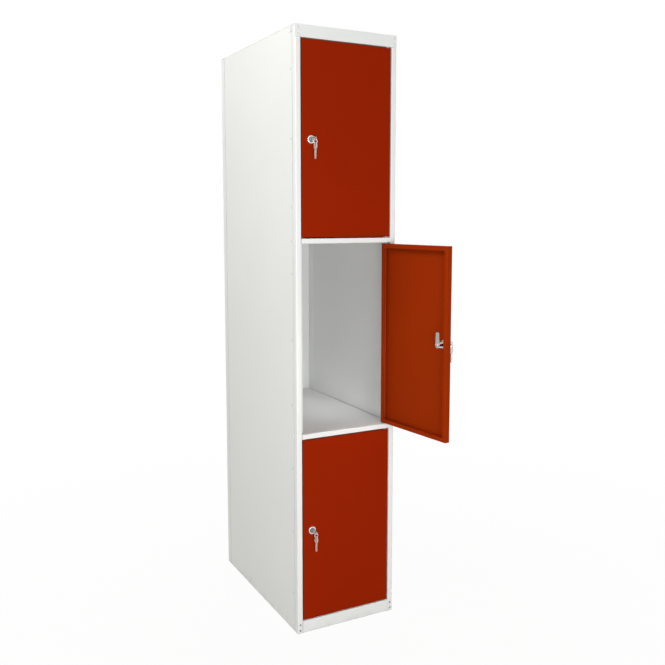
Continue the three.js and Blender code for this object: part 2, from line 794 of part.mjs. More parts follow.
function addCarcase() {
  [[-1, 'left'], [1, 'right']].forEach(([side, word]) => {
    add(carcase, `${word}_side_panel`, sidePanel(side), WHITE_PAINT);
    add(carcase, `${word}_post`, post(side), WHITE_PAINT);
  });
  add(carcase, 'back_panel', backPanel(), WHITE_PAINT);
  add(carcase, 'top_panel', topPanel(), WHITE_PAINT);
  add(carcase, 'base_panel', trayPanel(KICK_HEIGHT), WHITE_PAINT);
  add(carcase, 'kick_rail', kickRail(), WHITE_PAINT);
  ['lower', 'upper'].forEach((word, i) => {
    const railTop = KICK_HEIGHT + TIER_PITCH * (i + 1);
    add(carcase, `${word}_cross_rail`, crossRail(railTop), WHITE_PAINT);
    add(carcase, `${word}_shelf`, trayPanel(railTop), WHITE_PAINT);
  });
}

function addRivets() {
  const joints = [
    ['kick_rail', kickRivetPlaces(), 2 * FRAME_SHEET + SEAM],
    ['top_panel', topRivetPlaces(), CAP_SETBACK + FRAME_SHEET],
  ];
  joints.forEach(([word, places, grip]) => {
    places.forEach(([x, z], i) => {
      const mesh = add(carcase, `${word}_rivet_${i + 1}`, rivet(grip), ZINC);
      mesh.position.set(x, 0, z);
    });
  });
}

// The bushes at the lower and upper end of one door's hinge line
function addBushes(tier, floor) {
  const ceiling = floor + OPENING_HEIGHT;
  const upperSheet = tier === TIERS[TIERS.length - 1] ? PANEL_SHEET : FRAME_SHEET;
  const top = add(carcase, `${tier.name}_top_bush`, hingeBush(upperSheet), NYLON);
  top.position.set(PIN_X, PIN_DEPTH, ceiling);
  const bottom = add(carcase, `${tier.name}_bottom_bush`, hingeBush(FRAME_SHEET), NYLON);
  bottom.position.set(PIN_X, PIN_DEPTH, floor);
  bottom.rotation.x = Math.PI;
}

function addLock(door, name) {
  const lock = new THREE.Group();
  lock.position.set(LOCK_X, -PIN_DEPTH, DOOR_HEIGHT / 2);
  door.add(lock);
  add(lock, `${name}_lock_housing`, lockHousing(), CHROME);
  add(lock, `${name}_lock_nut`, lockNut(), ZINC);
  add(lock, `${name}_lock_plug`, lockPlug(), CHROME);
  add(lock, `${name}_lock_cam`, lockCam(), ZINC);
  add(lock, `${name}_cam_screw`, camScrew(), ZINC);
  add(lock, `${name}_key`, key(), KEY_NICKEL);
  const holeDepth = BLADE_LENGTH + HEAD_FRONT - PLUG_PROUD - BOW_HOLE_PLACE;
  const hang = new THREE.Group();
  hang.position.set(0, holeDepth, RING_WIRE + SEAM - BOW_HOLE_RADIUS);
  lock.add(hang);
  add(hang, `${name}_key_ring`, keyRing(), ZINC);
  const spare = add(hang, `${name}_spare_key`, spareKey(), KEY_NICKEL);
  spare.position.z = -2 * RING_RADIUS;
}

function addDoor(tier, floor) {
  const door = new THREE.Group();
  door.position.set(PIN_X, PIN_DEPTH, floor + DOOR_GAP);
  door.rotation.z = tier.open;
  carcase.add(door);
  add(door, `${tier.name}_door`, doorPan(), RED_PAINT);
  const top = add(door, `${tier.name}_top_pin`, hingePin(), ZINC);
  top.position.z = DOOR_HEIGHT;
  const bottom = add(door, `${tier.name}_bottom_pin`, hingePin(), ZINC);
  bottom.rotation.x = Math.PI;
  addLock(door, tier.name);
}

addCarcase();
addRivets();
TIERS.forEach((tier, i) => {
  const floor = KICK_HEIGHT + TIER_PITCH * i;
  addBushes(tier, floor);
  addDoor(tier, floor);
});

export default locker;
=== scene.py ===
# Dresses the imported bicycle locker: paint, plated metal, locks, keys, rivets, floor, light and camera.
# Metres, +Z up, +X to the right seen from the front, +Y to the back.

import json
import math

import bmesh
import bpy
from mathutils import Matrix, Vector


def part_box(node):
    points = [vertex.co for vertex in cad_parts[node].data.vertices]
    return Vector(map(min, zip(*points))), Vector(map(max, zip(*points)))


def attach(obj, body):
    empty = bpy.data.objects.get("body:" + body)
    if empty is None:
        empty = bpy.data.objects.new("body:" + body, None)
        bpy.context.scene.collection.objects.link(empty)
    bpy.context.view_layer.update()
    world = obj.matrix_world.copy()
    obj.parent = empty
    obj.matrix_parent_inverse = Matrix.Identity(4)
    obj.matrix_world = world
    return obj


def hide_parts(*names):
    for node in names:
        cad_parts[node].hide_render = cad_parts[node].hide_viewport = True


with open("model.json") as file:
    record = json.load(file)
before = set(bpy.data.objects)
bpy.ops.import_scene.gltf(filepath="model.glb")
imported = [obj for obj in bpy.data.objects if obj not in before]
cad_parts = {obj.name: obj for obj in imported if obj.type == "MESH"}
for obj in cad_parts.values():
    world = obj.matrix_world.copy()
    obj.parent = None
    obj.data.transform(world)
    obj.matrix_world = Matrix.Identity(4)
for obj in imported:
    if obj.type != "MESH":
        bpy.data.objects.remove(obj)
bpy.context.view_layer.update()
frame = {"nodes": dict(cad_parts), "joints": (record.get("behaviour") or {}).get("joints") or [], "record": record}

MM = 0.001
TIERS = ("upper", "middle", "lower")

# Camera, fitted to the photograph's corners: metres, degrees and, for the lens and sensor, millimetres
CAMERA_PLACE = (-1.1521, -2.106, 1.2574)
CAMERA_YAW = 27.775
CAMERA_PITCH = 6.32
CAMERA_LENS = 43.387
CAMERA_SENSOR = 36
CAMERA_SHIFT = -0.0383

# World and floor: the floor's own white grows to full over FLOOR_WHITE_REACH, in metres from the part
WORLD_LIGHT = 0.38
FLOOR_SIZE = 30
FLOOR_WHITE_SHARE = 0.965
FLOOR_WHITE_REACH = (0.5, 2.2)
FLOOR_COLOUR = (0.43, 0.427, 0.37)

# Lamps: place, the point that each looks at, size, watts and colour, in metres
COOL_LIGHT = (0.97, 0.985, 1)
LAMPS = {
    "side_lamp": ((-1.8, 0.0, 2.8), (-0.17, 0.15, 1.5), (1.2, 1.2), 32, (1, 0.985, 0.96)),
    "front_lamp": ((-0.85, -2.3, 0.85), (0, 0, 0.9), (1.4, 1.0), 39, COOL_LIGHT),
    "upper_lamp": ((0.2, -2.6, 2.6), (0, 0.2, 0.7), (1.6, 1.2), 6, COOL_LIGHT),
    "rear_lamp": ((1.7, 3.0, 3.6), (0.1, 0.5, 0.9), (1.6, 1.6), 90, (1, 0.995, 0.985)),
}

# The narrow lamp that looks into the open compartment, with its cone in degrees
SPOT_PLACE = (-0.2, -1.2, 1.75)
SPOT_AIM = (0.06, 0.26, 0.62)
SPOT_WATTS = 62
SPOT_CONE = 12
SPOT_BLEND = 1.0
SPOT_RADIUS = 0.12

# Paint, linear: its colour, a second shade, and the tone of its rubbed edges
WHITE = ((0.86, 0.865, 0.86), (0.835, 0.842, 0.83), (0.74, 0.735, 0.72))
RED = ((0.304, 0.0152, 0.0002), (0.289, 0.0141, 0.0002), (0.4, 0.04, 0.006))
# The red again, lighter and warmer: painted light on the door's inner faces
RED_INSIDE_PAINTED_LIGHT = ((0.304, 0.0255, 0.0008), (0.289, 0.0235, 0.0007), (0.42, 0.055, 0.01))
# Dust at the foot, and the painted shade in seams and corners, linear
DUST_AND_SEAM_SHADE = (0.36, 0.33, 0.28)

# Metal and nylon, linear: a colour and a second shade
CHROME = ((0.84, 0.85, 0.86), (0.74, 0.745, 0.75))
STEEL = ((0.3, 0.31, 0.32), (0.2, 0.21, 0.22))
ZINC = ((0.66, 0.67, 0.67), (0.52, 0.53, 0.53))
NICKEL = ((0.72, 0.7, 0.65), (0.6, 0.58, 0.52))
NYLON = ((0.5, 0.51, 0.5), (0.44, 0.45, 0.44))

# Wear, dirt at the foot and painted shade in seams, in metres
PAINT_EDGE = 0.0011
METAL_EDGE = 0.0005
SEAM_SHADE_REACH = 0.004
FOOT_DIRT_HEIGHT = 0.035

# Rounding of sharp edges, in millimetres: on the CAD's own nodes by slot, and on the pieces made here
CAD_ROUNDING = {
    "white_paint": 0.4, "red_paint": 0.4, "zinc": 0.3, "chrome": 0.3, "key_nickel": 0.3, "nylon": 0.25,
}
DOOR_ROUNDING = 0.3
HINGE_ROUNDING = 0.1
TAB_ROUNDING = 0.25
LOCK_ROUNDING = {"lock_plug": 0.12, "lock_cam": 0.25, "cam_screw": 0.1, "key": 0.14, "spare_key": 0.14}
ROUNDING_STEPS = 2

# Cleaning of the CAD's own nodes, in metres and degrees
WELD_DISTANCE = 0.00001
FLAT_ANGLE = 0.5

# Steps round a turned piece or an arc
SMALL_STEPS = 24
PIN_STEPS = 32
SCREW_STEPS = 40
HOLE_STEPS = 48
PLUG_STEPS = 64
THREADED_STEPS = 72
HUB_STEPS = 40
BOW_STEPS = 60
CORNER_STEPS = 6
FOLD_STEPS = 5

# Door pan, in millimetres about its hinge line
DOOR_FREE = -287.0
DOOR_HUNG = 8.0
DOOR_FRONT = -8.0
DOOR_BACK = 10.0
DOOR_HEIGHT = 559.0
DOOR_SHEET = 1.0
DOOR_LIP = 13.0
FOLD_OUTER = 2.0
LIP_OUTER = 1.6
SLIT_WIDTH = 0.7
SLIT_DEPTH = 1.5
SLIT_OVERRUN = 1.0

# Blind rivets, in millimetres: (radius, depth), then (behind the front face, above the floor)
RIVET_PROFILE = ((0.9, -0.75), (1.15, -1.15), (1.7, -1.35), (2.5, -1.1), (3.1, -0.7), (3.4, -0.2), (3.4, 0))
RIVET_SHANK = 1.9
RIVET_HEAD = 1.5
SIDE_RIVET_GRIP = 2.3
SIDE_RIVET_SETBACK = 30.0
SIDE_RIVET_TOP = 1680.0
SIDE_RIVET_PITCH = 195.0
SIDE_RIVET_COUNT = 9
RAIL_RIVETS = (1191.3, 610.8)
FOOT_RIVETS = ((31.0, 17.5), (27.0, 6.5), (17.0, 8.0))

# Tab at each top front corner, in millimetres behind the front face and above the floor
TAB_FRONT = 24.0
TAB_BACK = 43.0
TAB_LOW = 1780.0
TAB_HIGH = 1796.5
TAB_THICKNESS = 0.6
TAB_GAP = 0.05
TAB_CORNER = 3.0
TAB_RIVETS = ((27.5, 1784.5), (27.5, 1792.0))

# Hinge pins and bushes, in millimetres above the door's edge and the face that carries them
CLEARANCE = 0.3
OVERRUN = 2.0
PIN_HOLE = 3.3
PIN_PROFILE = (
    (3.6, -3.3), (4.4, -2.7), (4.4, -1.3), (3, -1.3), (3, 0.3), (4.8, 0.3), (5, 0.5), (5, 1.2), (4.8, 1.4),
    (3, 1.4), (3, 7.2), (2.2, 8),
)
BUSH_PROFILE = ((3.3, -1.1), (3.5, -1.3), (5.9, -1.3), (6.2, -1), (6.2, -0.3), (4.5, -0.3))
BUSH_TAIL = ((4.5, -0.4), (4.2, 0), (3.6, 0), (3.3, -0.3))
OPENING_HEIGHT = 565.0
DOOR_GAP = 3.0

# Lock, in millimetres about its axis, with the door's outer face at depth zero
HEAD_PROFILE = (
    (6.9, -3), (8.7, -3), (8.7, -3.5), (8.9, -3.7), (9.9, -3.72), (10.6, -3.65), (11.1, -3.4), (11.5, -2.9),
    (11.75, -2.2), (11.8, -1.6), (11.8, -0.6), (11.6, -0.35), (11.3, -0.3), (9, -0.3), (9, 0.2),
)
BARREL_RADIUS = 9.0
BARREL_TAIL = ((8.5, 23.6), (8.1, 24), (7.2, 24), (6.9, 23.7))
BARREL_FLAT = 8.0
LOCK_HOLE = 9.3
THREAD_START = 1.2
THREAD_END = 23.2
THREAD_PITCH = 1.0
THREAD_DEPTH = 0.45
THREAD_ROWS = 4
NUT_FLAT = 11.5
NUT_PROFILE = (
    (9.9, 1.3), (10.9, 1.3), (12.2, 1.7), (13.4, 2.4), (13.4, 4.2), (12.2, 4.9), (10.9, 5.3), (9.9, 5.3),
    (9.3, 4.7), (9.3, 1.9),
)
PLUG_PROFILE = ((7.9, -4.3), (8.25, -4.2), (8.4, -3.95), (8.4, -3.3), (6.6, -3.3), (6.6, 23.8), (6.4, 24))
PLUG_FACE = -4.3
TANG_HALF = 3.8
TANG_ROOT = 23.0
TANG_END = 26.0
KEYWAY_HALF = (1.3, 3.6)
KEYWAY_FLARE = 0.4
KEYWAY_FLARE_DEPTH = 0.25
CAM_FRONT = 24.3
CAM_BACK = 26.3
CAM_LENGTH = 36.0
CAM_HUB = 8.5
CAM_HUB_OPENING = 60.0
CAM_TIP_HALF = 6.5
CAM_TIP_CORNER = 3.0
SCREW_PROFILE = (
    (2, 19.6), (2, 26.6), (4.4, 26.6), (4.6, 26.8), (4.6, 27.4), (4.1, 28), (3, 28.45), (1.2, 28.6),
)
SCREW_SLOT_HALF = (0.55, 2.7)
SCREW_SLOT_FLOOR = 27.5
SCREW_SLOT_END = 30.0
SCREW_HOLE = 2.3

# Key, in millimetres along its blade from the tip and across it; grooves are side, low edge and high edge
KEY_HALF = 1.0
BLADE_LENGTH = 19.0
BLADE_HALF = 3.3
BLADE_REACH = 14.7
KEY_TIP = ((0.5, -0.5), (0, 0), (0.5, 0.6))
BOW_CENTRE = 37.5
BOW_HALF_LENGTH = 11.0
BOW_HALF_WIDTH = 7.5
BOW_HOLE = 43.5
BOW_HOLE_RADIUS = 2.6
BOW_RIM = 1.5
BOW_SINK_DEPTH = 0.3
WARD_DEPTHS = (0.7, 1.4, 0.7, 1.4)
WARD_HALF = 1.25
WARD_FLAT = 0.35
GROOVES = ((1, -1.0, 0.6), (-1, -2.7, -1.5))
GROOVE_DEPTH = 0.45
GROOVE_END = 24.0

# Key ring, in millimetres about the lock's axis, with the step of its wire and the gap at its ends in degrees
RING_DEPTH = -28.8
RING_DROP = -1.5
RING_RADIUS = 5.5
RING_THICK = 0.74
RING_HALF_WIDTH = 0.41
RING_STEP = 0.42
RING_CROSSING = 110.0
RING_CROSSING_HALF = 26.0
RING_END_GAP = 4.0
RING_STEPS = 120
RING_SIDES = 12
SPARE_TURN = 9.0

# Locks' finishes, where they differ from the CAD's
PIECE_FINISHES = {"lock_plug": "plug_steel"}


# Meshes


def linked(name, data):
    """A new object for a mesh, lamp or camera."""
    made = bpy.data.objects.new(name, data)
    bpy.context.scene.collection.objects.link(made)
    return made


def coat(mesh, material):
    """Gives a mesh one material and smooth shading."""
    mesh.materials.clear()
    mesh.materials.append(material)
    mesh.polygons.foreach_set("use_smooth", [True] * len(mesh.polygons))


def hang(name, mesh, body, material):
    """A mesh becomes a named piece that rides on a body."""
    piece = linked(name, mesh)
    coat(mesh, material)
    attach(piece, body)
    return piece


def mesh_of(name, points, faces, place=None):
    """A mesh from points in millimetres, put in place, with its faces turned outwards."""
    mesh = bpy.data.meshes.new(name)
    build = bmesh.new()
    corners = [build.verts.new(Vector(p) * MM) for p in points]
    for face in faces:
        build.faces.new([corners[i] for i in face])
    bmesh.ops.recalc_face_normals(build, faces=build.faces)
    if place is not None:
        build.transform(place)
    build.to_mesh(mesh)
    build.free()
    return mesh


def loops_to_faces(count, length, closed):
    """Quads between successive rings of points, each ring closed on itself."""
    faces = []
    for i in range(count if closed else count - 1):
        here, following = i * length, (i + 1) % count * length
        for j in range(length):
            beside = (j + 1) % length
            faces.append((here + j, here + beside, following + beside, following + j))
    return faces


def lathe(name, profile, steps, place=None, hollow=False, shape=None):
    """A profile of (radius, depth) turned about Y, closed at its ends, or a tube when hollow."""
    points = []
    for radius, depth in profile:
        for j in range(steps):
            angle = 2 * math.pi * j / steps
            reach = shape(angle, radius, depth) if shape else radius
            points.append((reach * math.cos(angle), depth, reach * math.sin(angle)))
    faces = loops_to_faces(len(profile), steps, hollow)
    if not hollow:
        faces += [tuple(range(steps)), tuple(range(len(points) - steps, len(points)))]
    return mesh_of(name, points, faces, place)


def plate(name, outline, low, high, place=None):
    """An outline of (y, z) corners pushed out along X."""
    count = len(outline)
    points = [(x, y, z) for x in (low, high) for y, z in outline]
    faces = loops_to_faces(2, count, False)
    faces += [tuple(range(count)), tuple(range(count, 2 * count))]
    return mesh_of(name, points, faces, place)


def arc(centre, radius, start, end, steps):
    """Points of an arc about a centre, both ends included, in degrees."""
    angles = [math.radians(start + (end - start) * i / steps) for i in range(steps + 1)]
    return [(centre[0] + radius * math.cos(a), centre[1] + radius * math.sin(a)) for a in angles]


def block(name, low, high):
    """A box between two corners."""
    points = [(x, y, z) for x in (low[0], high[0]) for y in (low[1], high[1]) for z in (low[2], high[2])]
    faces = [(0, 1, 3, 2), (4, 6, 7, 5), (0, 4, 5, 1), (2, 3, 7, 6), (0, 2, 6, 4), (1, 5, 7, 3)]
    return mesh_of(name, points, faces)


def shift(x, y, z):
    """A move given in millimetres."""
    return Matrix.Translation((x * MM, y * MM, z * MM))


def carve(mesh, place, cutters, additions=()):
    """The mesh with each addition joined to it and each cutter then taken out, put in place at the end."""
    target = linked("carved", mesh)
    for operation, tools in (("UNION", additions), ("DIFFERENCE", cutters)):
        for shape in tools:
            modifier = target.modifiers.new("join or cut", "BOOLEAN")
            modifier.object = linked("tool", shape)
            modifier.operation = operation
            modifier.solver = "EXACT"
    bpy.context.view_layer.update()
    graph = bpy.context.evaluated_depsgraph_get()
    result = bpy.data.meshes.new_from_object(target.evaluated_get(graph))
    result.name = mesh.name
    result.transform(place)
    for modifier in target.modifiers:
        bpy.data.objects.remove(modifier.object)
    bpy.data.objects.remove(target)
    return result


def soften(piece, width, angle=40):
    """Rounds the edges that are sharper than an angle and shades flat faces flat."""
    bevel = piece.modifiers.new("edges", "BEVEL")
    bevel.width = width * MM
    bevel.segments = ROUNDING_STEPS
    bevel.limit_method = "ANGLE"
    bevel.angle_limit = math.radians(angle)
    bevel.harden_normals = False
    normals = piece.modifiers.new("normals", "WEIGHTED_NORMAL")
    normals.keep_sharp = True


def sharp_shaded(piece, angle=35):
    """Smooth shading that stops at the piece's sharp edges."""
    piece.data.set_sharp_from_angle(angle=math.radians(angle))


# Materials


def put(tree, kind, settings=None):
    """A new shader node with its settings."""
    node = tree.nodes.new("ShaderNode" + kind)
    for key, value in (settings or {}).items():
        setattr(node, key, value)
    return node


def fill(tree, node, values):
    """Sets or links a node's inputs, by name or number."""
    for key, value in values.items():
        if isinstance(value, bpy.types.NodeSocket):
            tree.links.new(value, node.inputs[key])
        else:
            node.inputs[key].default_value = value
    return node


def noise(tree, coordinates, scale, detail=2, roughness=0.5):
    """A noise pattern, with its scale per metre."""
    node = put(tree, "TexNoise")
    fill(tree, node, {"Vector": coordinates, "Scale": scale, "Detail": detail, "Roughness": roughness})
    return node.outputs["Fac"]


def spread(tree, value, low, high, to_low, to_high):
    """Maps a value's stretch from low to high onto another, and holds it at the ends."""
    node = put(tree, "MapRange")
    fill(tree, node, {"Value": value, "From Min": low, "From Max": high, "To Min": to_low, "To Max": to_high})
    return node.outputs["Result"]


def reckon(tree, operation, a, b):
    """A sum, product or larger value of two; a product stays between zero and one."""
    node = put(tree, "Math", {"operation": operation, "use_clamp": operation == "MULTIPLY"})
    fill(tree, node, {0: a, 1: b})
    return node.outputs[0]


def blend_colours(tree, share, a, b):
    """From colour a to colour b by a share."""
    node = put(tree, "Mix", {"data_type": "RGBA"})
    colours = [s for s in node.inputs if s.type == "RGBA"]
    for socket, colour in zip(colours, (a, b)):
        if isinstance(colour, bpy.types.NodeSocket):
            tree.links.new(colour, socket)
        else:
            socket.default_value = (*colour, 1)
    fill(tree, node, {0: share})
    return next(s for s in node.outputs if s.type == "RGBA")


def bumped(tree, height, strength, distance, below=None):
    """A surface normal raised by a height pattern, over another if one is given."""
    node = put(tree, "Bump")
    fill(tree, node, {"Height": height, "Strength": strength, "Distance": distance})
    if below is not None:
        fill(tree, node, {"Normal": below})
    return node.outputs["Normal"]


def emptied(owner):
    """The node tree of a material or world, cleared."""
    owner.use_nodes = True
    owner.node_tree.nodes.clear()
    return owner.node_tree


def open_material(name):
    """A material with its tree, its surface shader and the object's own coordinates."""
    material = bpy.data.materials.new(name)
    tree = emptied(material)
    surface = put(tree, "BsdfPrincipled")
    output = put(tree, "OutputMaterial")
    tree.links.new(surface.outputs["BSDF"], output.inputs["Surface"])
    coordinates = put(tree, "TexCoord").outputs["Object"]
    return material, tree, surface, coordinates


def edge_share(tree, radius):
    """One along sharp edges, zero on open faces."""
    rounded = fill(tree, put(tree, "Bevel", {"samples": 4}), {"Radius": radius})
    plain = put(tree, "NewGeometry").outputs["Normal"]
    dot = put(tree, "VectorMath", {"operation": "DOT_PRODUCT"})
    fill(tree, dot, {0: rounded.outputs["Normal"], 1: plain})
    return spread(tree, dot.outputs["Value"], 0.98, 0.8, 0, 1)


def crevice_share(tree, distance):
    """One deep in seams and corners, where shade falls, zero in the open."""
    node = fill(tree, put(tree, "AmbientOcclusion", {"samples": 6}), {"Distance": distance})
    return spread(tree, node.outputs["AO"], 0.35, 0.85, 1, 0)


def paint(name, colour, shade, rubbed, roughness, seam_shade_strength, shine):
    """Powder coat: orange peel, slow drift of tone, dulled edges, dust near the floor and painted shade in seams.
    """
    material, tree, surface, coordinates = open_material(name)
    drift = noise(tree, coordinates, scale=2.3, detail=3)
    cloud = noise(tree, coordinates, scale=38, detail=4, roughness=0.6)
    peel = noise(tree, coordinates, scale=620, detail=2, roughness=0.45)
    tone = blend_colours(tree, spread(tree, drift, 0.3, 0.7, 0, 1), colour, shade)
    wear = reckon(tree, "MULTIPLY", edge_share(tree, PAINT_EDGE), spread(tree, cloud, 0.42, 0.62, 0.15, 0.8))
    tone = blend_colours(tree, wear, tone, rubbed)
    height = put(tree, "SeparateXYZ")
    fill(tree, height, {0: coordinates})
    low_down = spread(tree, height.outputs["Z"], 0, FOOT_DIRT_HEIGHT, 0.5, 0)
    foot = reckon(tree, "MULTIPLY", low_down, spread(tree, cloud, 0.45, 0.75, 0, 0.5))
    # Painted shade: darker, in the dust colour, deep in seams and corners
    crevice_shade = reckon(tree, "MULTIPLY", crevice_share(tree, SEAM_SHADE_REACH), seam_shade_strength)
    dirt_and_shade = reckon(tree, "MAXIMUM", foot, crevice_shade)
    tone = blend_colours(tree, dirt_and_shade, tone, DUST_AND_SEAM_SHADE)
    gloss = spread(tree, cloud, 0.3, 0.7, roughness - 0.05, roughness + 0.07)
    gloss = reckon(tree, "ADD", gloss, reckon(tree, "MULTIPLY", dirt_and_shade, 0.3))
    waves = bumped(tree, noise(tree, coordinates, scale=5, detail=1), strength=0.35, distance=0.0006)
    skin = bumped(tree, peel, strength=0.3, distance=0.00012, below=waves)
    fill(tree, surface, {"Base Color": tone, "Roughness": gloss, "Normal": skin, "Specular IOR Level": shine})
    return material


def metal(name, colour, shade, smoothest, roughest, grain, squeeze, scratch):
    """Plated metal: patchy tone and gloss, fine scratches squeezed along Z, dull edges."""
    material, tree, surface, coordinates = open_material(name)
    patches = noise(tree, coordinates, scale=grain, detail=3, roughness=0.6)
    lines = put(tree, "Mapping")
    fill(tree, lines, {"Vector": coordinates, "Scale": (1, 1, squeeze)})
    hair = noise(tree, lines.outputs["Vector"], scale=grain * 2, detail=3, roughness=0.7)
    tone = blend_colours(tree, spread(tree, patches, 0.35, 0.65, 0, 1), colour, shade)
    wear = reckon(tree, "MULTIPLY", edge_share(tree, METAL_EDGE), 0.5)
    tone = blend_colours(tree, wear, tone, shade)
    gloss = spread(tree, hair, 0.3, 0.7, smoothest, roughest)
    skin = bumped(tree, hair, strength=scratch, distance=0.00005)
    fill(tree, surface, {"Base Color": tone, "Roughness": gloss, "Normal": skin, "Metallic": 1.0})
    return material


def nylon(name, colour, shade):
    """Moulded plastic with a fine grain."""
    material, tree, surface, coordinates = open_material(name)
    cloud = noise(tree, coordinates, scale=160, detail=3)
    tone = blend_colours(tree, cloud, colour, shade)
    skin = bumped(tree, noise(tree, coordinates, scale=2500), strength=0.2, distance=0.00004)
    gloss = spread(tree, cloud, 0.3, 0.7, 0.42, 0.58)
    fill(tree, surface, {"Base Color": tone, "Roughness": gloss, "Normal": skin})
    return material


FINISHES = {
    # In each paint, the middle setting is the strength of its painted shade in seams
    "white_paint": paint("white_powder_coat", *WHITE, roughness=0.4, seam_shade_strength=0.35, shine=0.4),
    "red_paint": paint("red_powder_coat", *RED, roughness=0.5, seam_shade_strength=0.3, shine=0.03),
    # Painted light: a lighter, warmer red for the door's inner faces
    "red_inside_painted_light": paint("red_powder_coat_inside_painted_light", *RED_INSIDE_PAINTED_LIGHT, roughness=0.5, seam_shade_strength=0.3, shine=0.03),
    "chrome": metal("chrome_plate", *CHROME, 0.1, 0.22, grain=300, squeeze=6, scratch=0.15),
    "plug_steel": metal("plug_steel", *STEEL, 0.22, 0.36, grain=380, squeeze=8, scratch=0.3),
    "zinc": metal("zinc_plate", *ZINC, 0.3, 0.48, grain=420, squeeze=1, scratch=0.3),
    "key_nickel": metal("key_nickel", *NICKEL, 0.22, 0.4, grain=500, squeeze=12, scratch=0.3),
    "nylon": nylon("bush_nylon", *NYLON),
}


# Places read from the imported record

JOINTS = {j["name"]: j for j in frame["joints"]}
SLOTS = {part["node"]: part["material_slot"] for part in frame["record"]["subparts"]}


def turned_frame(joint, tier):
    """The frame at a joint's place, turned as far as that tier's door stands open."""
    outward = JOINTS[tier + "_plug_turn"]["axis"]
    angle = math.atan2(outward[0], -outward[1])
    return Matrix.Translation(Vector(JOINTS[joint]["pos_m"])) @ Matrix.Rotation(angle, 4, "Z")


# The CAD's own nodes

for node_name, node in frame["nodes"].items():
    slot = SLOTS[node_name]
    coat(node.data, FINISHES[slot])
    weld = node.modifiers.new("weld", "WELD")
    weld.merge_threshold = WELD_DISTANCE
    flat = node.modifiers.new("flats", "DECIMATE")
    flat.decimate_type = "DISSOLVE"
    flat.angle_limit = math.radians(FLAT_ANGLE)
    soften(node, CAD_ROUNDING[slot], angle=32)


# Doors

UPRIGHT = Matrix.Rotation(math.radians(90), 4, "X")
HALF_TURN = Matrix.Rotation(math.radians(180), 4, "X")


def flat_sided(flat):
    """Cuts a round section back to a flat on either side."""
    return lambda angle, radius, depth: min(radius, flat / max(abs(math.cos(angle)), 0.01))


def pan_profile():
    """The door's edge in section, as (distance in from the edge, depth) from the front round to the inside."""
    points = []

    def corner(centre, radius, start, end):
        for i in range(FOLD_STEPS + 1):
            a = math.radians(start + (end - start) * i / FOLD_STEPS)
            points.append((centre[0] - radius * math.sin(a), centre[1] - radius * math.cos(a)))

    front = (FOLD_OUTER, DOOR_FRONT + FOLD_OUTER)
    back = (LIP_OUTER, DOOR_BACK - LIP_OUTER)
    corner(front, FOLD_OUTER, 0, 90)
    corner(back, LIP_OUTER, 90, 180)
    points.append((DOOR_LIP, DOOR_BACK))
    points.append((DOOR_LIP, DOOR_BACK - DOOR_SHEET))
    corner(back, LIP_OUTER - DOOR_SHEET, 180, 90)
    corner(front, FOLD_OUTER - DOOR_SHEET, 90, 0)
    return points


def door_pan(tier):
    """A door folded from one sheet, with slits at its corners and holes for the lock and pins."""
    points, profile = [], pan_profile()
    for inset, depth in profile:
        left, right = DOOR_FREE + inset, DOOR_HUNG - inset
        low, high = inset, DOOR_HEIGHT - inset
        points += [(left, depth, low), (right, depth, low), (right, depth, high), (left, depth, high)]
    faces = loops_to_faces(len(profile), 4, False)
    faces += [(0, 1, 2, 3), tuple(range(len(points) - 4, len(points)))]
    place = turned_frame(tier + "_door_hinge", tier)
    slits = []
    for middle in (DOOR_FREE + DOOR_LIP, DOOR_HUNG - DOOR_LIP):
        left, right = middle - SLIT_WIDTH / 2, middle + SLIT_WIDTH / 2
        inner, outer = DOOR_BACK - SLIT_DEPTH, DOOR_BACK + SLIT_OVERRUN
        reach = DOOR_LIP + SLIT_OVERRUN
        for low, high in ((DOOR_SHEET, reach), (DOOR_HEIGHT - reach, DOOR_HEIGHT - DOOR_SHEET)):
            slits.append(block("slit", (left, inner, low), (right, outer, high)))
    inward = place.inverted()
    lock = inward @ turned_frame(tier + "_plug_turn", tier)
    through = ((LOCK_HOLE, -OVERRUN), (LOCK_HOLE, DOOR_SHEET + OVERRUN))
    lock_hole = lathe("hole", through, HOLE_STEPS, lock, shape=flat_sided(BARREL_FLAT + CLEARANCE))
    pin_hole = lathe("hole", ((PIN_HOLE, -OVERRUN), (PIN_HOLE, DOOR_HEIGHT + OVERRUN)), PIN_STEPS, UPRIGHT)
    mesh = carve(mesh_of(tier + "_door_pan", points, faces), place, [*slits, lock_hole, pin_hole])
    piece = hang(tier + "_door_pan", mesh, tier + "_door", FINISHES["red_paint"])
    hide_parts(tier + "_door")
    # The inner faces take the lighter, warmer red: painted light
    mesh.materials.append(FINISHES["red_inside_painted_light"])
    for face in mesh.polygons:
        behind_skin = (inward @ face.center).y > (DOOR_FRONT + FOLD_OUTER) * MM
        faces_back = (inward.to_3x3() @ face.normal).y > 0.5
        face.material_index = int(behind_skin or faces_back)
    soften(piece, DOOR_ROUNDING)


for tier_name in TIERS:
    door_pan(tier_name)


# Hinge pins and bushes


def stand_in(name, mesh, node, body, finish=None):
    """A finely shaped piece that takes a node's place, body and, unless another is named, finish."""
    mesh.name = name
    piece = hang(name, mesh, body, FINISHES[finish or SLOTS[node]])
    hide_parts(node)
    return piece


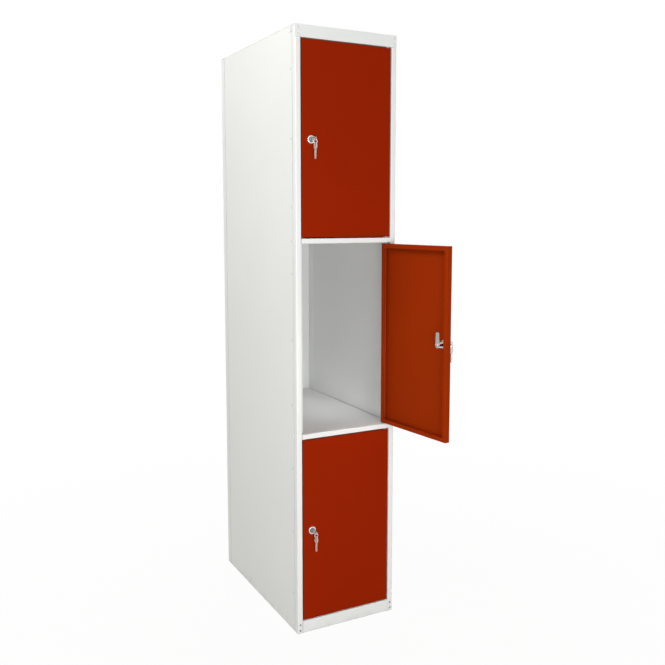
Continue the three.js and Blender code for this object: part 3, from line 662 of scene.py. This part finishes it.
def hinge_parts(tier):
    """A door's two pins and the bushes that they turn in."""
    hinge = Vector(JOINTS[tier + "_door_hinge"]["pos_m"])
    door = turned_frame(tier + "_door_hinge", tier)
    floor = Matrix.Translation(hinge) @ shift(0, 0, -DOOR_GAP)
    places = {"top": (shift(0, 0, DOOR_HEIGHT), shift(0, 0, OPENING_HEIGHT)), "bottom": (HALF_TURN, HALF_TURN)}
    for word, (pin_place, bush_place) in places.items():
        node = f"{tier}_{word}_pin"
        mesh = lathe(node, PIN_PROFILE, PIN_STEPS, door @ pin_place @ UPRIGHT)
        soften(stand_in(node + "_detail", mesh, node, tier + "_door"), HINGE_ROUNDING)
        node = f"{tier}_{word}_bush"
        low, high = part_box(node)
        tail = (high.z - low.z) / MM + BUSH_PROFILE[1][1]
        profile = [*BUSH_PROFILE, *((radius, tail + depth) for radius, depth in BUSH_TAIL)]
        mesh = lathe(node, profile, PIN_STEPS, floor @ bush_place @ UPRIGHT, hollow=True)
        soften(stand_in(node + "_detail", mesh, node, "carcase"), HINGE_ROUNDING)


# Locks and keys


def threaded(angle, radius, depth):
    """The housing's section: a round head, then a barrel with a thread and a flat on either side."""
    if THREAD_START <= depth <= THREAD_END:
        turn = depth / THREAD_PITCH + angle / (2 * math.pi)
        radius -= THREAD_DEPTH * (0.5 - 0.5 * math.cos(2 * math.pi * turn))
    return flat_sided(BARREL_FLAT)(angle, radius, depth) if depth > 0 else radius


def six_sided(angle, radius, depth):
    """Cuts a round section back to a hexagon."""
    corner = math.radians(30)
    return min(radius, NUT_FLAT / math.cos((angle + corner) % (2 * corner) - corner))


def housing_mesh(name, place):
    """The lock's head and threaded barrel, bored through."""
    rows = int((THREAD_END - THREAD_START) / THREAD_PITCH * THREAD_ROWS)
    step = THREAD_PITCH / THREAD_ROWS
    thread = [(BARREL_RADIUS, THREAD_START + i * step) for i in range(rows + 1)]
    profile = [*HEAD_PROFILE, *thread, *BARREL_TAIL]
    return lathe(name, profile, THREADED_STEPS, place, hollow=True, shape=threaded)


def plug_mesh(name, place):
    """The turning plug, with its keyway in front and the cam's square tang behind."""
    x, z = KEYWAY_HALF
    wide_x, wide_z = x + KEYWAY_FLARE, z + KEYWAY_FLARE
    before = PLUG_FACE - OVERRUN
    tang = block("tang", (-TANG_HALF, TANG_ROOT, -TANG_HALF), (TANG_HALF, TANG_END, TANG_HALF))
    slot = block("slot", (-x, before, -z), (x, BLADE_REACH + CLEARANCE, z))
    mouth = block("mouth", (-wide_x, before, -wide_z), (wide_x, PLUG_FACE + KEYWAY_FLARE_DEPTH, wide_z))
    screw_tip = SCREW_PROFILE[0][1] - CLEARANCE
    hole = lathe("hole", ((SCREW_HOLE, screw_tip), (SCREW_HOLE, TANG_END + OVERRUN)), SMALL_STEPS)
    return carve(lathe(name, PLUG_PROFILE, PLUG_STEPS), place, [slot, mouth, hole], [tang])


def cam_mesh(name, place):
    """The flat cam: a round hub with a square hole, and a tapered arm with rounded corners."""
    tip, corner = CAM_TIP_HALF, CAM_TIP_CORNER
    end = CAM_LENGTH - corner
    outline = arc((end, tip - corner), corner, 0, 90, CORNER_STEPS)
    outline += arc((0, 0), CAM_HUB, CAM_HUB_OPENING, 360 - CAM_HUB_OPENING, HUB_STEPS)
    outline += arc((end, corner - tip), corner, -90, 0, CORNER_STEPS)
    half = TANG_HALF + CLEARANCE
    laid = Matrix(((0, 0, 1, 0), (1, 0, 0, 0), (0, 1, 0, 0), (0, 0, 0, 1)))
    seat = block("seat", (-half, CAM_FRONT - OVERRUN, -half), (half, CAM_BACK + OVERRUN, half))
    return carve(plate(name, outline, CAM_FRONT, CAM_BACK, laid), place, [seat])


def screw_mesh(name, place):
    """The cam's screw, with a cross in its head."""
    arms = []
    for x, z in (SCREW_SLOT_HALF, reversed(SCREW_SLOT_HALF)):
        arms.append(block("arm", (-x, SCREW_SLOT_FLOOR, -z), (x, SCREW_SLOT_END, z)))
    return carve(lathe(name, SCREW_PROFILE, SCREW_STEPS), place, arms)


def key_outline():
    """A key seen from the side, as (distance along from the tip, distance across)."""
    step = BLADE_LENGTH / (len(WARD_DEPTHS) + 1)
    points = [(BLADE_HALF, -BLADE_HALF), *KEY_TIP, (BLADE_HALF / 2, BLADE_HALF / 2)]
    for i, depth in enumerate(WARD_DEPTHS):
        middle = step * (i + 1)
        floor = BLADE_HALF - depth
        points += [(middle - WARD_HALF, BLADE_HALF), (middle - WARD_FLAT, floor)]
        points += [(middle + WARD_FLAT, floor), (middle + WARD_HALF, BLADE_HALF)]
    neck = math.degrees(math.asin(BLADE_HALF / BOW_HALF_WIDTH))
    stretch = BOW_HALF_LENGTH / BOW_HALF_WIDTH
    bow = arc((0, 0), BOW_HALF_WIDTH, 180 - neck, neck - 180, BOW_STEPS)
    return points + [(BOW_CENTRE + along * stretch, across) for along, across in bow]


def oval(length, width):
    """Turns a round section into an oval one, given as half sizes."""

    def reach(angle, radius, depth):
        return length * width / math.hypot(width * math.cos(angle), length * math.sin(angle))

    return reach


def key_mesh(name, place):
    """A key with wards, a groove in each side, a sunk bow and a hole for the ring."""

    def bored(along, low, high, shape=None):
        laid = shift(0, along, 0) @ Matrix.Rotation(math.radians(-90), 4, "Z")
        return lathe("bore", ((BOW_HOLE_RADIUS, low), (BOW_HOLE_RADIUS, high)), HOLE_STEPS, laid, shape=shape)

    cutters = [bored(BOW_HOLE, -OVERRUN, OVERRUN)]
    sunk = KEY_HALF - BOW_SINK_DEPTH
    rim = oval(BOW_HALF_LENGTH - BOW_RIM, BOW_HALF_WIDTH - BOW_RIM)
    cutters += [bored(BOW_CENTRE, *span, rim) for span in ((sunk, OVERRUN), (-OVERRUN, -sunk))]
    for side, low, high in GROOVES:
        ends = sorted((side * (KEY_HALF - GROOVE_DEPTH), side * OVERRUN))
        cutters.append(block("groove", (ends[0], -OVERRUN, low), (ends[1], GROOVE_END, high)))
    return carve(plate(name, key_outline(), -KEY_HALF, KEY_HALF), place, cutters)


def split_ring_mesh(name, place):
    """Two turns of flattened wire side by side, with the step from one to the other to one side."""
    start = RING_CROSSING + RING_CROSSING_HALF + RING_END_GAP
    end = RING_CROSSING + 720 - RING_CROSSING_HALF - RING_END_GAP
    step_start = RING_CROSSING + 360 - RING_CROSSING_HALF
    points = []
    for i in range(RING_STEPS + 1):
        turn = start + (end - start) * i / RING_STEPS
        share = min(max((turn - step_start) / (2 * RING_CROSSING_HALF), 0), 1)
        offset = RING_STEP * (2 * share * share * (3 - 2 * share) - 1)
        across = math.radians(turn)
        for j in range(RING_SIDES):
            around = 2 * math.pi * j / RING_SIDES
            radius = RING_RADIUS + RING_THICK * math.cos(around)
            depth = offset + RING_HALF_WIDTH * math.sin(around)
            points.append((radius * math.sin(across), depth, radius * math.cos(across) - RING_RADIUS))
    faces = loops_to_faces(RING_STEPS + 1, RING_SIDES, False)
    faces += [tuple(range(RING_SIDES)), tuple(range(len(points) - RING_SIDES, len(points)))]
    return mesh_of(name, points, faces, place)


def lock_parts(tier):
    """A tier's lock with its two keys on a ring."""
    lock = turned_frame(tier + "_plug_turn", tier)
    hung = lock @ shift(0, RING_DEPTH, RING_DROP)
    spare = hung @ shift(0, 0, RING_DROP - 2 * RING_RADIUS) @ Matrix.Rotation(math.radians(SPARE_TURN), 4, "Z")
    spare = spare @ UPRIGHT @ shift(0, -BOW_HOLE, 0)
    pieces = (
        ("lock_housing", housing_mesh("housing", lock), "door"),
        ("lock_nut", lathe("nut", NUT_PROFILE, THREADED_STEPS, lock, hollow=True, shape=six_sided), "door"),
        ("lock_plug", plug_mesh("plug", lock), "plug"),
        ("lock_cam", cam_mesh("cam", lock), "plug"),
        ("cam_screw", screw_mesh("screw", lock), "plug"),
        ("key", key_mesh("key", lock @ shift(0, BLADE_REACH, 0) @ HALF_TURN), "key"),
        ("key_ring", split_ring_mesh("ring", hung), "ring"),
        ("spare_key", key_mesh("spare", spare), "spare"),
    )
    for word, mesh, body in pieces:
        node = f"{tier}_{word}"
        piece = stand_in(node + "_detail", mesh, node, f"{tier}_{body}", PIECE_FINISHES.get(word))
        if word in LOCK_ROUNDING:
            soften(piece, LOCK_ROUNDING[word], angle=30)
        else:
            sharp_shaded(piece)


for tier_name in TIERS:
    hinge_parts(tier_name)
    lock_parts(tier_name)


# Rivets

SIDE_TURNS = {-1: Matrix.Rotation(math.radians(-90), 4, "Z"), 1: Matrix.Rotation(math.radians(90), 4, "Z")}


def rivet(name, place, grip, finish="zinc"):
    """A blind rivet whose head sits on a face that looks along -Y."""
    profile = [*RIVET_PROFILE, (RIVET_SHANK, 0), (RIVET_SHANK, grip)]
    mesh = lathe(name, profile, SMALL_STEPS, place)
    return hang(name, mesh, "carcase", FINISHES[finish])


for node_name in [n for n in frame["nodes"] if "_rivet_" in n]:
    low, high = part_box(node_name)
    middle = (low + high) / 2
    head = low.y + RIVET_HEAD * MM
    head_place = Matrix.Translation((middle.x, head, middle.z))
    finish = "plug_steel" if node_name.startswith("kick") else "zinc"
    made = rivet(node_name + "_detail", head_place, (high.y - head) / MM, finish)
    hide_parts(node_name)

side_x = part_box("right_side_panel")[1].x
front_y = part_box("right_post")[0].y
side_heights = [SIDE_RIVET_TOP - SIDE_RIVET_PITCH * i for i in range(SIDE_RIVET_COUNT)] + list(RAIL_RIVETS)
side_places = [(SIDE_RIVET_SETBACK, z) for z in side_heights] + list(FOOT_RIVETS)
for side, word in ((-1, "left"), (1, "right")):
    for number, (setback, height) in enumerate(side_places):
        spot = Matrix.Translation((side * side_x, front_y + setback * MM, height * MM)) @ SIDE_TURNS[side]
        rivet(f"{word}_side_rivet_{number + 1}", spot, SIDE_RIVET_GRIP)


# Corner tabs


def corner_tab(side, word):
    """A small rounded plate over the joint of top, post and side, held by two rivets."""
    corner = TAB_CORNER
    lower = arc((TAB_BACK - corner, TAB_LOW + corner), corner, -90, 0, CORNER_STEPS)
    upper = arc((TAB_BACK - corner, TAB_HIGH - corner), corner, 0, 90, CORNER_STEPS)
    outline = [(TAB_FRONT, TAB_LOW), *lower, *upper, (TAB_FRONT, TAB_HIGH)]
    reach = side_x / MM
    ends = sorted((side * (reach + TAB_GAP), side * (reach + TAB_THICKNESS)))
    mesh = plate(f"{word}_corner_tab", outline, *ends, Matrix.Translation((0, front_y, 0)))
    soften(hang(f"{word}_corner_tab", mesh, "carcase", FINISHES["white_paint"]), TAB_ROUNDING)
    for number, (setback, height) in enumerate(TAB_RIVETS):
        spot = Matrix.Translation((side * (side_x + TAB_THICKNESS * MM), front_y + setback * MM, height * MM))
        rivet(f"{word}_tab_rivet_{number + 1}", spot @ SIDE_TURNS[side], SIDE_RIVET_GRIP)


corner_tab(-1, "left")
corner_tab(1, "right")


# Floor, world, lamps and camera


def seen_share(tree):
    """One for what the camera, a mirror or a clear body shows, zero for light on its way."""
    path = put(tree, "LightPath")
    seen = reckon(tree, "MAXIMUM", path.outputs["Is Camera Ray"], path.outputs["Is Glossy Ray"])
    return reckon(tree, "MAXIMUM", seen, path.outputs["Is Transmission Ray"])


def make_floor():
    """A floor that looks white and keeps the shadow."""
    material = bpy.data.materials.new("floor_white")
    tree = emptied(material)
    plain = fill(tree, put(tree, "BsdfDiffuse"), {"Color": (*FLOOR_COLOUR, 1)})
    glow = fill(tree, put(tree, "Emission"), {"Color": (1, 1, 1, 1), "Strength": 1})
    distance = put(tree, "VectorMath", {"operation": "LENGTH"})
    fill(tree, distance, {0: put(tree, "TexCoord").outputs["Object"]})
    white = spread(tree, distance.outputs["Value"], *FLOOR_WHITE_REACH, FLOOR_WHITE_SHARE, 1)
    share = reckon(tree, "MULTIPLY", seen_share(tree), white)
    mix = fill(tree, put(tree, "MixShader"), {0: share, 1: plain.outputs[0], 2: glow.outputs[0]})
    tree.links.new(mix.outputs[0], put(tree, "OutputMaterial").inputs["Surface"])

    half = FLOOR_SIZE / 2
    corners = [(-half, -half, 0), (half, -half, 0), (half, half, 0), (-half, half, 0)]
    mesh = bpy.data.meshes.new("floor")
    mesh.from_pydata(corners, [], [(0, 1, 2, 3)])
    mesh.materials.append(material)
    floor = linked("floor", mesh)


def make_world():
    """A white world that lights the part more softly than it looks."""
    world = bpy.data.worlds.new("studio")
    bpy.context.scene.world = world
    tree = emptied(world)
    lit = fill(tree, put(tree, "Background"), {"Color": (1, 1, 1, 1), "Strength": WORLD_LIGHT})
    white = fill(tree, put(tree, "Background"), {"Color": (1, 1, 1, 1), "Strength": 1})
    mix = fill(tree, put(tree, "MixShader"), {0: seen_share(tree), 1: lit.outputs[0], 2: white.outputs[0]})
    tree.links.new(mix.outputs[0], put(tree, "OutputWorld").inputs["Surface"])


def aimed(light, place, aim):
    """Puts a lamp at a place, looking at a point."""
    light.location = place
    light.rotation_euler = (Vector(aim) - Vector(place)).to_track_quat("-Z", "Y").to_euler()


def lamp(name, place, aim, size, watts, colour):
    """A rectangular lamp."""
    data = bpy.data.lights.new(name, "AREA")
    data.shape = "RECTANGLE"
    data.size, data.size_y = size
    data.energy = watts
    data.color = colour
    aimed(linked(name, data), place, aim)


def narrow_lamp(name):
    """The spot that looks into the open compartment."""
    data = bpy.data.lights.new(name, "SPOT")
    data.energy = SPOT_WATTS
    data.spot_size = math.radians(SPOT_CONE)
    data.spot_blend = SPOT_BLEND
    data.shadow_soft_size = SPOT_RADIUS
    aimed(linked(name, data), SPOT_PLACE, SPOT_AIM)


def make_camera():
    """The camera at the photograph's place."""
    data = bpy.data.cameras.new("camera")
    data.sensor_width = CAMERA_SENSOR
    data.lens = CAMERA_LENS
    data.shift_y = CAMERA_SHIFT
    camera = linked("camera", data)
    camera.location = CAMERA_PLACE
    camera.rotation_euler = (math.radians(90 - CAMERA_PITCH), 0, -math.radians(CAMERA_YAW))
    bpy.context.scene.camera = camera


make_floor()
make_world()
for lamp_name, lamp_values in LAMPS.items():
    lamp(lamp_name, *lamp_values)
narrow_lamp("inside_lamp")
make_camera()

bpy.context.scene.view_settings.view_transform = "Standard"
